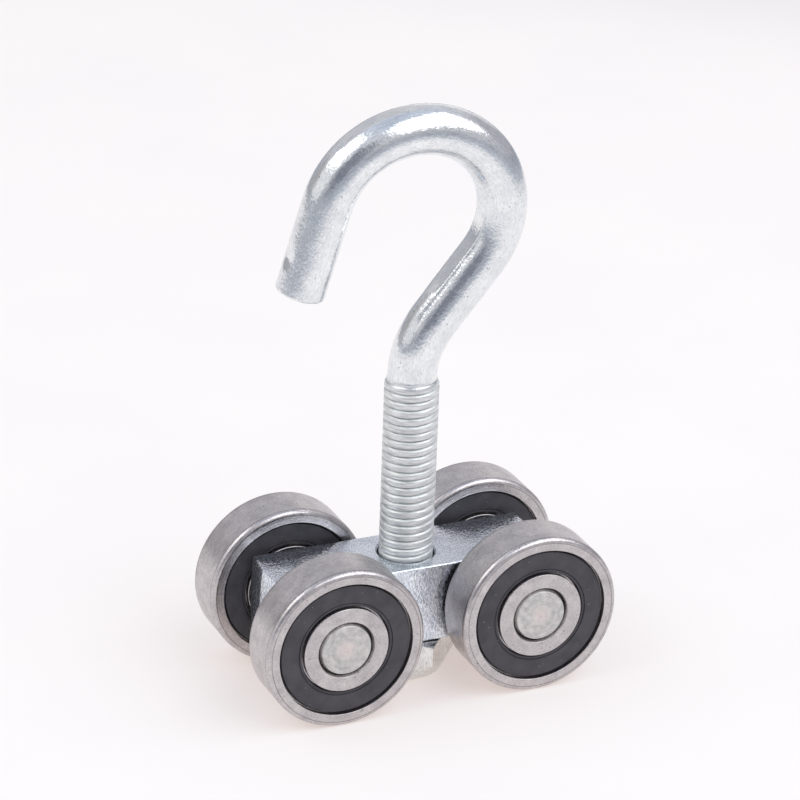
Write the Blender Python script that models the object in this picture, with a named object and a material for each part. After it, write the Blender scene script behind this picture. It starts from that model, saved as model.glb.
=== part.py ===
"""Four-wheel rail trolley with a swivelling rod hook, standing on its wheels with the hook up.

Metres, +Z up. X runs along the rail and Y across it. The origin lies under the hook's shank, on
the surface that the wheels stand on. Left is -X, right is +X, front is -Y and back is +Y.
"""

import math

import bmesh
import bpy
from mathutils import Matrix, Vector

MM = 0.001

# Bearings that serve as wheels: a sealed deep-groove ball bearing with a 10 mm bore
WHEEL_DIAMETER = 30.0 * MM
AXLE_DIAMETER = 10.0 * MM
BALL_DIAMETER = 4.762 * MM
BALLS_PER_BEARING = 8
OUTER_SHOULDER = 0.70 * MM
INNER_SHOULDER = 1.08 * MM
SEAL_SEAT_STEP = 0.76 * MM
SEAL_LIP_STEP = 0.50 * MM
SEAL_THICKNESS = 0.80 * MM
SEAL_RECESS = 0.40 * MM
CAGE_RADIAL_THICKNESS = 1.00 * MM
CAGE_SIDE_WALL = 0.38 * MM
RING_CHAMFER = 0.90 * MM
BORE_CHAMFER = 0.40 * MM
AXLE_CHAMFER = 0.35 * MM

# Trolley body: a length of square bar
BODY_THICKNESS = 15.0 * MM
BODY_HEIGHT = 15.0 * MM
BODY_LEFT_OVERHANG = 7.2 * MM
BODY_RIGHT_OVERHANG = 6.4 * MM
BODY_BELOW_AXLE = 6.9 * MM
BODY_EDGE_RADIUS = 0.4 * MM
CROPPED_RIDGE = 1.0 * MM
CROPPED_RIDGE_Y = 2.0 * MM
GAP_BETWEEN_WHEELS = 7.6 * MM
WHEEL_STANDOFF = 1.0 * MM

# Hook: round rod, rolled M10 thread on the shank
THREAD_DIAMETER = 9.75 * MM
ROD_DIAMETER = 8.8 * MM
THREAD_TOP = 57.0 * MM
THREAD_RUN_OUT = 0.6 * MM
NECK_BEND_START = 57.7 * MM
NECK_INNER_RADIUS = 13.3 * MM
NECK_BEND_ANGLE = math.radians(35.9)
NECK_STRAIGHT = 13.6 * MM
BOWL_INNER_RADIUS = 12.0 * MM
BOWL_BEND_ANGLE = math.radians(201.8)
TIP_STRAIGHT = 16.9 * MM
HOOK_YAW = math.radians(-3.3)
HOOK_LEAN = math.radians(-4.8)
SHANK_END_CHAMFER = 0.8 * MM
TIP_EDGE_RADIUS = 0.5 * MM

# Low nylon-insert lock nut under the body
NUT_WALL = 3.125 * MM
NUT_HEIGHT = 7.7 * MM
NUT_TOP_CHAMFER = 1.15 * MM
NUT_CORNER_BOTTOM = 5.75 * MM
NUT_TURN = math.radians(42.0)
INSERT_WALL = 1.1 * MM
INSERT_HEIGHT = 1.9 * MM
INSERT_LIP = 0.45 * MM
COLLAR_WALL = 0.8 * MM
SHANK_ABOVE_NUT_FACE = 0.15 * MM

# Clearances
PRESS_GAP = 0.15 * MM
RUNNING_GAP = 0.20 * MM
SWIVEL_GAP = 0.325 * MM
THREAD_GAP = 0.30 * MM
POCKET_GAP = 0.24 * MM
CAGE_TO_SEAL = 0.30 * MM
SEAL_SEAT_GAP = 0.10 * MM
INSERT_GAP = 0.10 * MM

# Facets
ROUND_SIDES = 32
GROOVE_POINTS = 5
POCKET_SIDES = 10
ROD_BEVEL_RESOLUTION = 6
BEND_STEP = math.radians(9.0)
CUTTER_MARGIN = 2.0 * MM

# Worked out from the sizes above
ball_radius = BALL_DIAMETER / 2
axle_radius = AXLE_DIAMETER / 2
wheel_radius = WHEEL_DIAMETER / 2
pitch_radius = (axle_radius + wheel_radius) / 2
ring_width = BALL_DIAMETER + 2 * (
    POCKET_GAP + CAGE_SIDE_WALL + CAGE_TO_SEAL + SEAL_THICKNESS + SEAL_RECESS
)
groove_radius = ball_radius + RUNNING_GAP
outer_land_radius = pitch_radius + groove_radius - OUTER_SHOULDER
inner_land_radius = pitch_radius - groove_radius + INNER_SHOULDER
seal_seat_radius = outer_land_radius + SEAL_SEAT_STEP
seal_lip_radius = inner_land_radius - SEAL_LIP_STEP
seal_outer_y = ring_width / 2 - SEAL_RECESS
seal_inner_y = seal_outer_y - SEAL_THICKNESS
land_half_width = seal_inner_y - SEAL_SEAT_GAP
axle_height = wheel_radius
axle_x = (WHEEL_DIAMETER + GAP_BETWEEN_WHEELS) / 2
bearing_y = BODY_THICKNESS / 2 + WHEEL_STANDOFF + ring_width / 2
axle_half_length = bearing_y + ring_width / 2
body_bottom = axle_height - BODY_BELOW_AXLE
rod_radius = ROD_DIAMETER / 2
thread_radius = THREAD_DIAMETER / 2
nut_bore_radius = thread_radius + THREAD_GAP
nut_flat_radius = thread_radius + NUT_WALL
nut_top = body_bottom - PRESS_GAP
nut_bottom = nut_top - NUT_HEIGHT
shank_bottom = nut_bottom + SHANK_ABOVE_NUT_FACE

# Turns a cylinder built along Z to lie along Y with a flat facet facing down
ALONG_Y = Matrix.Rotation(math.pi / 2, 4, "X") @ Matrix.Rotation(
    math.pi / ROUND_SIDES, 4, "Z"
)
WHEELS = {
    "front_left": (-1, -1),
    "front_right": (1, -1),
    "back_left": (-1, 1),
    "back_right": (1, 1),
}


def clear_scene():
    for obj in list(bpy.data.objects):
        bpy.data.objects.remove(obj, do_unlink=True)


def make_material(name, colour, roughness, metallic):
    material = bpy.data.materials.new(name)
    material.use_nodes = True
    shader = material.node_tree.nodes["Principled BSDF"]
    shader.inputs["Base Color"].default_value = (*colour, 1.0)
    shader.inputs["Roughness"].default_value = roughness
    shader.inputs["Metallic"].default_value = metallic
    return material


def add_object(name, data, material=None, parent=None, location=(0, 0, 0)):
    obj = bpy.data.objects.new(name, data)
    bpy.context.scene.collection.objects.link(obj)
    obj.location = location
    obj.parent = parent
    if material and not data.materials:
        data.materials.append(material)
    return obj


def add_axis(name, location):
    """An empty on a joint's axis, which the pieces that turn about it are parented to."""
    axis = add_object(name, None, location=location)
    axis.empty_display_size = 5 * MM
    return axis


def finish_mesh(bm, name, smooth=True):
    bmesh.ops.recalc_face_normals(bm, faces=bm.faces)
    mesh = bpy.data.meshes.new(name)
    bm.to_mesh(mesh)
    bm.free()
    if smooth:
        mesh.shade_smooth()
        mesh.set_sharp_from_angle(angle=math.radians(32))
    return mesh


def turned_mesh(name, profile, axis=Vector((0, 1, 0)), sides=ROUND_SIDES):
    """A closed (radius, height) outline spun about the axis, with a flat facet facing down.

    The facets' middles lie on the stated radius, so their corners stand a little outside it.
    """
    axis = Vector(axis)
    across = Vector((0, 0, -1)) if axis.z == 0 else Vector((1, 0, 0))
    to_first_corner = Matrix.Rotation(math.pi / sides, 3, axis)
    corner_share = 1 / math.cos(math.pi / sides)
    bm = bmesh.new()
    points = [
        bm.verts.new(to_first_corner @ across * radius * corner_share + axis * height)
        for radius, height in profile
    ]
    edges = [bm.edges.new((point, points[i - 1])) for i, point in enumerate(points)]
    bmesh.ops.spin(
        bm,
        geom=points + edges,
        cent=(0, 0, 0),
        axis=axis,
        angle=math.tau,
        steps=sides,
        use_merge=True,
    )
    return finish_mesh(bm, name)


def groove_arc(centre_radius, from_angle, to_angle):
    """Points of a ball groove's section, from one land to the other."""
    return [
        (
            centre_radius + groove_radius * math.cos(angle),
            groove_radius * math.sin(angle),
        )
        for step in range(GROOVE_POINTS)
        for angle in [from_angle + (to_angle - from_angle) * step / (GROOVE_POINTS - 1)]
    ]


def outer_ring_mesh():
    half = ring_width / 2
    reach = math.acos((groove_radius - OUTER_SHOULDER) / groove_radius)
    return turned_mesh(
        "outer_ring",
        [
            (wheel_radius - RING_CHAMFER, -half),
            (wheel_radius, -half + RING_CHAMFER),
            (wheel_radius, half - RING_CHAMFER),
            (wheel_radius - RING_CHAMFER, half),
            (seal_seat_radius, half),
            (seal_seat_radius, land_half_width),
            (outer_land_radius, land_half_width),
            *groove_arc(pitch_radius, reach, -reach),
            (outer_land_radius, -land_half_width),
            (seal_seat_radius, -land_half_width),
            (seal_seat_radius, -half),
        ],
    )


def inner_ring_mesh():
    half = ring_width / 2
    reach = math.acos((groove_radius - INNER_SHOULDER) / groove_radius)
    return turned_mesh(
        "inner_ring",
        [
            (axle_radius + BORE_CHAMFER, half),
            (axle_radius, half - BORE_CHAMFER),
            (axle_radius, -half + BORE_CHAMFER),
            (axle_radius + BORE_CHAMFER, -half),
            (seal_lip_radius, -half),
            (seal_lip_radius, -land_half_width),
            (inner_land_radius, -land_half_width),
            *groove_arc(pitch_radius, math.pi + reach, math.pi - reach),
            (inner_land_radius, land_half_width),
            (seal_lip_radius, land_half_width),
            (seal_lip_radius, half),
        ],
    )


def seal_mesh(name, side):
    """A ring-shaped shield that fills the mouth of the bearing on one side."""
    lip = seal_lip_radius + RUNNING_GAP
    rim = seal_seat_radius - SEAL_SEAT_GAP
    return turned_mesh(
        name,
        [
            (lip, side * seal_inner_y),
            (rim, side * seal_inner_y),
            (rim, side * seal_outer_y),
            (lip, side * seal_outer_y),
        ],
    )


def ball_mesh():
    bm = bmesh.new()
    bmesh.ops.create_icosphere(bm, subdivisions=2, radius=ball_radius)
    return finish_mesh(bm, "ball")


def cage_mesh():
    half = ball_radius + POCKET_GAP + CAGE_SIDE_WALL
    inside = pitch_radius - CAGE_RADIAL_THICKNESS / 2
    outside = pitch_radius + CAGE_RADIAL_THICKNESS / 2
    return turned_mesh(
        "cage", [(inside, -half), (outside, -half), (outside, half), (inside, half)]
    )


def ball_angle(number):
    return math.tau * number / BALLS_PER_BEARING


def cutter(name, bm, location=(0, 0, 0)):
    obj = add_object(name, finish_mesh(bm, name, smooth=False), location=location)
    obj.hide_render = True
    obj.display_type = "WIRE"
    return obj


def cut(obj, tool, operation="DIFFERENCE"):
    modifier = obj.modifiers.new(tool.name, "BOOLEAN")
    modifier.operation = operation
    modifier.solver = "EXACT"
    modifier.object = tool


def add_cylinder(bm, radius, depth, matrix, sides=ROUND_SIDES):
    bmesh.ops.create_cone(
        bm,
        cap_ends=True,
        segments=sides,
        radius1=radius / math.cos(math.pi / sides),
        radius2=radius / math.cos(math.pi / sides),
        depth=depth,
        matrix=matrix,
    )


def pocket_cutter(name, location):
    """One short radial cylinder for each ball, about the bearing's axis."""
    bm = bmesh.new()
    depth = CAGE_RADIAL_THICKNESS + CUTTER_MARGIN
    for number in range(BALLS_PER_BEARING):
        turn = Matrix.Rotation(ball_angle(number), 4, "Y")
        place = turn @ Matrix.Translation((0, 0, pitch_radius))
        add_cylinder(bm, ball_radius + POCKET_GAP, depth, place, POCKET_SIDES)
    return cutter(name, bm, location)


def build_bearing(name, centre, meshes, materials, outward):
    """One bearing: two rings, two seals, a cage and its balls, about an axis along Y."""
    steel, rubber, cage_steel = materials
    axis = add_axis(name + "_axis", centre)
    add_object(name + "_outer_ring", meshes["outer_ring"], steel, axis)
    add_object(name + "_inner_ring", meshes["inner_ring"], steel, axis)
    for seal, side in (("outer_seal", outward), ("inner_seal", -outward)):
        add_object(f"{name}_{seal}", meshes["seal", side], rubber, axis)
    cage = add_object(name + "_cage", meshes["cage"], cage_steel, axis)
    cut(cage, pocket_cutter(name + "_pockets", centre))
    for number in range(BALLS_PER_BEARING):
        angle = ball_angle(number)
        place = Vector((math.sin(angle), 0, math.cos(angle))) * pitch_radius
        add_object(f"{name}_ball_{number + 1}", meshes["ball"], steel, axis, place)


def build_bearings():
    materials = (
        make_material("bearing_steel", (0.42, 0.42, 0.43), 0.28, 1.0),
        make_material("seal_rubber", (0.035, 0.035, 0.038), 0.55, 0.0),
        make_material("cage_steel", (0.38, 0.37, 0.36), 0.40, 1.0),
    )
    meshes = {
        "outer_ring": outer_ring_mesh(),
        "inner_ring": inner_ring_mesh(),
        "cage": cage_mesh(),
        "ball": ball_mesh(),
        ("seal", -1): seal_mesh("seal_facing_front", -1),
        ("seal", 1): seal_mesh("seal_facing_back", 1),
    }
    for name, (along, across) in WHEELS.items():
        centre = (along * axle_x, across * bearing_y, axle_height)
        build_bearing(name, centre, meshes, materials, across)


def build_axles():
    """Plain pins pressed through the body, flush with the bearings' outer faces."""
    steel = make_material("axle_steel", (0.55, 0.55, 0.55), 0.32, 1.0)
    bm = bmesh.new()
    add_cylinder(bm, axle_radius - PRESS_GAP, 2 * axle_half_length, ALONG_Y)
    caps = [face for face in bm.faces if abs(face.normal.y) > 0.9]
    rims = list({edge for cap in caps for edge in cap.edges})
    bmesh.ops.bevel(
        bm, geom=rims, offset=AXLE_CHAMFER, segments=1, profile=0.5, affect="EDGES"
    )
    mesh = finish_mesh(bm, "axle")
    for name, along in (("axle_left", -1), ("axle_right", 1)):
        add_object(name, mesh, steel, location=(along * axle_x, 0, axle_height))


def build_body():
    """Square bar with two cross holes for the axles and one upright hole for the shank."""
    half = BODY_THICKNESS / 2
    bm = bmesh.new()
    right = axle_x + BODY_RIGHT_OVERHANG
    left = -axle_x - BODY_LEFT_OVERHANG
    outline = [
        (right, -half),
        (right, half),
        (left, half),
        (left - CROPPED_RIDGE, CROPPED_RIDGE_Y),
        (left, -half),
    ]
    face = bm.faces.new([bm.verts.new((x, y, body_bottom)) for x, y in outline])
    lifted = bmesh.ops.extrude_face_region(bm, geom=[face])["geom"]
    upper = [part for part in lifted if isinstance(part, bmesh.types.BMVert)]
    bmesh.ops.translate(bm, verts=upper, vec=(0, 0, BODY_HEIGHT))
    bmesh.ops.recalc_face_normals(bm, faces=bm.faces)
    zinc = make_material("body_zinc", (0.66, 0.68, 0.70), 0.34, 1.0)
    body = add_object("trolley_body", finish_mesh(bm, "trolley_body", smooth=False), zinc)
    bevel = body.modifiers.new("edges", "BEVEL")
    bevel.width = BODY_EDGE_RADIUS
    bevel.segments = 1
    bevel.limit_method = "ANGLE"
    bevel.angle_limit = math.radians(40)

    holes = bmesh.new()
    for along in (-1, 1):
        place = Matrix.Translation((along * axle_x, 0, axle_height)) @ ALONG_Y
        add_cylinder(holes, axle_radius, BODY_THICKNESS + 2 * CUTTER_MARGIN, place)
    cut(body, cutter("axle_holes", holes))
    shank_hole = bmesh.new()
    place = Matrix.Translation((0, 0, body_bottom + BODY_HEIGHT / 2))
    depth = BODY_HEIGHT + 2 * CUTTER_MARGIN
    add_cylinder(shank_hole, thread_radius + SWIVEL_GAP, depth, place)
    cut(body, cutter("shank_hole", shank_hole))


def hook_centre_line():
    """(reach, height, radius) along the rod in the hook's own plane, from the shank's foot."""
    thin_foot = thread_radius - SHANK_END_CHAMFER
    points = [
        (0, shank_bottom, thin_foot),
        (0, shank_bottom + SHANK_END_CHAMFER, thread_radius),
        (0, THREAD_TOP - THREAD_RUN_OUT, thread_radius),
        (0, THREAD_TOP, rod_radius),
    ]
    reach, height, heading = 0, NECK_BEND_START, 0
    bends = (
        (NECK_INNER_RADIUS + rod_radius, NECK_BEND_ANGLE, NECK_STRAIGHT),
        (BOWL_INNER_RADIUS + rod_radius, -BOWL_BEND_ANGLE, TIP_STRAIGHT),
    )
    for radius, angle, straight in bends:
        side = math.copysign(radius, angle)
        centre = (reach + side * math.cos(heading), height - side * math.sin(heading))
        steps = max(2, round(abs(angle) / BEND_STEP))
        for step in range(steps + 1):
            turned = heading + angle * step / steps
            reach = centre[0] - side * math.cos(turned)
            height = centre[1] + side * math.sin(turned)
            points.append((reach, height, rod_radius))
        heading += angle
        reach += straight * math.sin(heading)
        height += straight * math.cos(heading)
    back = TIP_EDGE_RADIUS
    points.append(
        (reach - back * math.sin(heading), height - back * math.cos(heading), rod_radius)
    )
    points.append((reach, height, rod_radius - TIP_EDGE_RADIUS))
    return points


def hook_point(reach, height):
    """A point of the hook's plane in space: yawed about the shank, leaning above the thread."""
    above = max(0, height - NECK_BEND_START)
    sideways = above * math.sin(HOOK_LEAN)
    return (
        reach * math.cos(HOOK_YAW) - sideways * math.sin(HOOK_YAW),
        reach * math.sin(HOOK_YAW) + sideways * math.cos(HOOK_YAW),
        height - above * (1 - math.cos(HOOK_LEAN)),
    )


def build_hook():
    zinc = make_material("hook_zinc", (0.72, 0.73, 0.75), 0.30, 1.0)
    curve = bpy.data.curves.new("hook", "CURVE")
    curve.dimensions = "3D"
    curve.bevel_depth = 1.0
    curve.bevel_resolution = ROD_BEVEL_RESOLUTION
    curve.use_fill_caps = True
    line = hook_centre_line()
    spline = curve.splines.new("POLY")
    spline.points.add(len(line) - 1)
    for point, (reach, height, radius) in zip(spline.points, line):
        point.co = (*hook_point(reach, height), 1)
        point.radius = radius
    add_object("hook", curve, zinc)


def build_nut():
    """Hexagon nut with a domed collar that holds a nylon ring against the thread."""
    zinc = make_material("nut_zinc", (0.64, 0.66, 0.66), 0.36, 1.0)
    nylon = make_material("nylon", (0.80, 0.80, 0.77), 0.50, 0.0)
    corner = nut_flat_radius / math.cos(math.pi / 6)
    blank = corner + NUT_TOP_CHAMFER
    pocket_radius = nut_bore_radius + INSERT_WALL
    collar_radius = pocket_radius + COLLAR_WALL
    pocket_bottom = INSERT_LIP - NUT_HEIGHT
    pocket_top = pocket_bottom + INSERT_HEIGHT
    dome_middle = (-NUT_HEIGHT - NUT_CORNER_BOTTOM) / 2 - INSERT_LIP / 2
    profile = [
        (nut_bore_radius, 0),
        (nut_bore_radius, pocket_top),
        (pocket_radius, pocket_top),
        (pocket_radius, pocket_bottom),
        (nut_bore_radius, pocket_bottom),
        (nut_bore_radius, -NUT_HEIGHT),
        (collar_radius - INSERT_LIP, -NUT_HEIGHT),
        (collar_radius + INSERT_LIP, dome_middle),
        (corner, -NUT_CORNER_BOTTOM),
        (blank, -NUT_CORNER_BOTTOM + NUT_TOP_CHAMFER / 2),
        (blank, -NUT_TOP_CHAMFER * 1.5),
        (nut_flat_radius, 0),
    ]
    mesh = turned_mesh("lock_nut", profile, axis=(0, 0, 1))
    nut = add_object("lock_nut", mesh, zinc, location=(0, 0, nut_top))
    hexagon = bmesh.new()
    turn = Matrix.Rotation(NUT_TURN, 4, "Z")
    place = Matrix.Translation((0, 0, nut_top - NUT_HEIGHT / 2)) @ turn
    add_cylinder(hexagon, nut_flat_radius, NUT_HEIGHT + CUTTER_MARGIN, place, 6)
    cut(nut, cutter("nut_hexagon", hexagon), "INTERSECT")

    rim = pocket_radius - INSERT_GAP
    insert = turned_mesh(
        "nut_insert",
        [
            (nut_bore_radius, pocket_bottom + INSERT_GAP),
            (rim, pocket_bottom + INSERT_GAP),
            (rim, pocket_top - INSERT_GAP),
            (nut_bore_radius, pocket_top - INSERT_GAP),
        ],
        axis=(0, 0, 1),
    )
    add_object("nut_insert", insert, nylon, location=(0, 0, nut_top))


clear_scene()
build_body()
build_axles()
build_bearings()
build_hook()
build_nut()
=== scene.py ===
"""Rail trolley hook: a bent rod hook that swivels in a trolley on four sealed ball bearings.

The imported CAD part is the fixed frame. Every piece below stands for one of its nodes, in metres,
with the rail along X, the axles along Y and the hook's shank up Z.
"""

import math

import bmesh
import bpy
from mathutils import Matrix, Vector


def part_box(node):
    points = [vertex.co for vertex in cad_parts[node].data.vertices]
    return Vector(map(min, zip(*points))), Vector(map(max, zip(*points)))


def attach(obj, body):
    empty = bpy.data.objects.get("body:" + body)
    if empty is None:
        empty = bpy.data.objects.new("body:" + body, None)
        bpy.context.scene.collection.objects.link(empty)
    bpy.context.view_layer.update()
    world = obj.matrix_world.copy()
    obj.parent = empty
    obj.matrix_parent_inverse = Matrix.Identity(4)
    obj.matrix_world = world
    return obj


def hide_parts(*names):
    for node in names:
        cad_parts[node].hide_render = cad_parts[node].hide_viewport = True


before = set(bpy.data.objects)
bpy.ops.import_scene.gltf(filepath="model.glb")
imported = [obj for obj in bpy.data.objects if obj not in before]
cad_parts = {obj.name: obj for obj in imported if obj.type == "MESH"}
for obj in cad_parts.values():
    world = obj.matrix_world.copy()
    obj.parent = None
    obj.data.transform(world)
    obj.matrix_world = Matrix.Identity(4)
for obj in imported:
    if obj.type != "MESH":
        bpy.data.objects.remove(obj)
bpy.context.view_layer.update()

MM = 0.001


# ---------------------------------------------------------------------------------------------
# Trolley body: a cropped length of cold-drawn square bar, drilled for the two axles and for the
# shank. It is tumbled, which rounds its edges, and zinc plated. The shear left one end swollen.
# ---------------------------------------------------------------------------------------------
WELD = 0.001 * MM  # points nearer than this are one


def linear(colour):
    """An sRGB hex colour as linear red, green, blue and alpha."""
    parts = [int(colour[i : i + 2], 16) / 255 for i in (1, 3, 5)]
    return (*[c / 12.92 if c <= 0.04045 else ((c + 0.055) / 1.055) ** 2.4 for c in parts], 1.0)


def add_node(tree, kind, inputs=None, stops=None, **settings):
    """Adds a shader node: its settings, its colour stops, and its inputs, each linked or set."""
    node = tree.nodes.new("ShaderNode" + kind)
    for name, value in settings.items():
        setattr(node, name, value)
    for number, (position, colour) in enumerate(stops or ()):
        if number > 1:
            node.color_ramp.elements.new(position)
        node.color_ramp.elements[number].position = position
        node.color_ramp.elements[number].color = linear(colour)
    for name, value in (inputs or {}).items():
        by_name = [s for s in node.inputs if s.name == name and s.enabled]
        socket = node.inputs[name] if isinstance(name, int) else by_name[0]
        if isinstance(value, bpy.types.Node):
            value = next(s for s in value.outputs if s.enabled)
        if isinstance(value, bpy.types.NodeSocket):
            tree.links.new(value, socket)
        else:
            socket.default_value = value
    return node


def start_material(name, roughness, metallic=1.0):
    """A new material with its node tree and its shader."""
    material = bpy.data.materials.new(name)
    material.use_nodes = True
    shader = material.node_tree.nodes["Principled BSDF"]
    shader.inputs["Roughness"].default_value = roughness
    shader.inputs["Metallic"].default_value = metallic
    return material, material.node_tree, shader


def add_piece(name, bm, material, sharp_from=35, even_shading=True):
    """Makes the finished shape an object at the origin, smooth apart from its sharp edges.

    Even shading keeps the faces that lie square to an axis flat, so their reflections are too.
    """
    bmesh.ops.remove_doubles(bm, verts=bm.verts, dist=WELD)
    bmesh.ops.recalc_face_normals(bm, faces=bm.faces)
    for face in bm.faces:
        square = max(abs(part) for part in face.normal) > 0.99999
        face.smooth = not (even_shading and square)
    mesh = bpy.data.meshes.new(name)
    bm.to_mesh(mesh)
    bm.free()
    mesh.set_sharp_from_angle(angle=math.radians(sharp_from))
    mesh.materials.append(material)
    piece = bpy.data.objects.new(name, mesh)
    bpy.context.scene.collection.objects.link(piece)
    if even_shading:
        piece.modifiers.new("even_shading", "WEIGHTED_NORMAL").keep_sharp = True
    return piece


def zinc_plating(
    name, bright, dull, shine, speckle, grain_height, line_height=0.0, rod_attribute=None
):
    """Electroplated zinc: a bright bluish metal, whose fine crystal grain makes it sparkle.

    Shine and speckle are the least and most roughness and brightness. Heights are in millimetres.
    The grain is about 0.05 mm. It is drawn 0.22 mm wide, and its relief 0.45 mm, to show. Brown
    stains and dark pits lie here and there, and drawn metal has faint lines along it.
    """
    material, tree, shader = start_material(name, roughness=shine[0])
    if rod_attribute:
        place = add_node(tree, "Attribute", attribute_name=rod_attribute).outputs["Vector"]
    else:
        place = add_node(tree, "TexCoord").outputs["Object"]
    stretched = add_node(
        tree,
        "Mapping",
        {"Vector": place, "Scale": (1 / (0.3 * MM), 1 / (0.3 * MM), 1 / (7 * MM))},
    )
    lines = add_node(tree, "TexNoise", {"Vector": stretched, "Scale": 1.0, "Detail": 3.0})
    grain = add_node(tree, "TexNoise", {"Vector": place, "Scale": 1 / (0.45 * MM), "Detail": 1.0})
    clouds = add_node(
        tree,
        "TexNoise",
        {"Vector": place, "Scale": 1 / (3.5 * MM), "Detail": 6.0, "Roughness": 0.65},
    )
    mottle = add_node(
        tree,
        "Math",
        {0: lines if line_height else grain, 1: 0.35, 2: clouds},
        operation="MULTIPLY_ADD",
    )
    tone = add_node(tree, "ValToRGB", {"Fac": mottle}, stops=[(0.52, dull), (0.82, bright)])
    stains = add_node(
        tree,
        "TexNoise",
        {"Vector": place, "Scale": 1 / (1.8 * MM), "Detail": 6.0, "Roughness": 0.75},
    )
    stained = add_node(
        tree, "MapRange", {"Value": stains, "From Min": 0.64, "From Max": 0.72, "To Max": 0.55}
    )
    tinted = add_node(
        tree, "Mix", {"Factor": stained, "A": tone, "B": linear("#A8957A")}, data_type="RGBA"
    ).outputs[2]
    pits = add_node(
        tree, "TexVoronoi", {"Vector": place, "Scale": 1 / (1.1 * MM), "Randomness": 1.0}
    )
    pit_size = add_node(tree, "Math", {0: pits.outputs["Color"], 1: 0.14}, operation="MULTIPLY")
    off_pit = add_node(
        tree, "Math", {0: pits.outputs["Distance"], 1: pit_size}, operation="SUBTRACT"
    )
    pitted = add_node(
        tree, "MapRange", {"Value": off_pit, "From Min": 0, "From Max": 0.05, "To Min": 0.6}
    )
    upright = add_node(
        tree,
        "Mapping",
        {"Vector": place, "Scale": (1 / (0.22 * MM), 1 / (0.22 * MM), 1 / (0.8 * MM))},
    )
    crystals = add_node(tree, "TexNoise", {"Vector": upright, "Scale": 1.0, "Detail": 2.0})
    sparkling = add_node(
        tree,
        "MapRange",
        {
            "Value": crystals,
            "From Min": 0.36,
            "From Max": 0.64,
            "To Min": speckle[0],
            "To Max": speckle[1],
        },
    )
    brightness = add_node(tree, "Math", {0: pitted, 1: sparkling}, operation="MULTIPLY")
    colour = add_node(
        tree,
        "Mix",
        {"Factor": 1.0, "A": tinted, "B": brightness},
        data_type="RGBA",
        blend_type="MULTIPLY",
    ).outputs[2]
    tree.links.new(colour, shader.inputs["Base Color"])

    roughness = add_node(
        tree,
        "MapRange",
        {"Value": grain, "From Min": 0.3, "From Max": 0.7, "To Min": shine[0], "To Max": shine[1]},
    )
    tree.links.new(roughness.outputs[0], shader.inputs["Roughness"])
    waves = add_node(tree, "TexNoise", {"Vector": place, "Scale": 1 / (2.6 * MM), "Detail": 2.0})
    height = add_node(tree, "Math", {0: grain, 1: grain_height}, operation="MULTIPLY")
    height = add_node(tree, "Math", {0: waves, 1: 0.045, 2: height}, operation="MULTIPLY_ADD")
    height = add_node(
        tree, "Math", {0: lines, 1: line_height, 2: height}, operation="MULTIPLY_ADD"
    )
    bump = add_node(tree, "Bump", {"Height": height, "Distance": 1 * MM, "Strength": 1.0})
    tree.links.new(bump.outputs[0], shader.inputs["Normal"])
    return material, tree, shader


BORE_SIDES = 96


def edges_of(verts):
    """Every edge that meets any of these points."""
    return list({edge for vert in verts for edge in vert.link_edges})


def drill(bm, axis, centres, radius, countersink):
    """Opens round holes right through the bar, with a small countersink at both mouths."""
    upright = Vector(axis).to_track_quat("Z", "Y").to_matrix().to_4x4()
    bores = [[] for _ in centres]
    for side in (-1, 1):
        facing = Vector(axis) * side
        face = max(bm.faces, key=lambda f: f.calc_area() * (f.normal.dot(facing) > 0.99))
        surface = face.calc_center_median().dot(facing)
        rim = list(face.edges)
        bmesh.ops.delete(bm, geom=[face], context="FACES_ONLY")
        for centre, bore in zip(centres, bores):
            mouth, throat = (
                edges_of(
                    bmesh.ops.create_circle(
                        bm,
                        segments=BORE_SIDES,
                        radius=reach,
                        matrix=Matrix.Translation(Vector(centre) + facing * (surface - depth))
                        @ upright,
                    )["verts"]
                )
                for reach, depth in ((radius + countersink, 0), (radius, countersink))
            )
            rim += mouth
            bore += throat
            bmesh.ops.bridge_loops(bm, edges=mouth + throat)
        bmesh.ops.triangle_fill(bm, use_beauty=True, edges=rim)
    for bore in bores:
        bmesh.ops.bridge_loops(bm, edges=bore)


bar_low, bar_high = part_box("trolley_body")
bar_edge_radius = 0.35 * MM
mouth_countersink = 0.3 * MM
end_swelling = 1.0 * MM
end_bulge = 0.45 * MM
ridge_y = 1.6 * MM
fall_behind_ridge = 0.55  # as a share of the fall in front of it
hair = 0.01 * MM  # nearer than this counts as touching
axle_low, axle_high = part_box("axle_right")
axle_middle = (axle_low + axle_high) / 2
axle_radius = 4.98 * MM
shank_hole_radius = 5.2 * MM

bar = bmesh.new()
bmesh.ops.create_cube(bar, size=1)
bar_left = bar_low.x + end_swelling
bar_size = Vector((bar_high.x - bar_left, bar_high.y - bar_low.y, bar_high.z - bar_low.z))
bar_centre = Vector((bar_high.x - bar_size.x / 2, 0, (bar_high.z + bar_low.z) / 2))
bmesh.ops.scale(bar, vec=bar_size, verts=bar.verts)
bmesh.ops.translate(bar, vec=bar_centre, verts=bar.verts)
bmesh.ops.bevel(
    bar,
    geom=bar.edges[:],
    offset=bar_edge_radius,
    segments=4,
    profile=0.5,
    affect="EDGES",
    material=-1,
)
axle_holes = [(-axle_middle.x, 0, axle_middle.z), (axle_middle.x, 0, axle_middle.z)]
drill(bar, (0, 0, 1), [(0, 0, 0)], shank_hole_radius, mouth_countersink)
drill(bar, (0, 1, 0), axle_holes, axle_radius, mouth_countersink)
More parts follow.
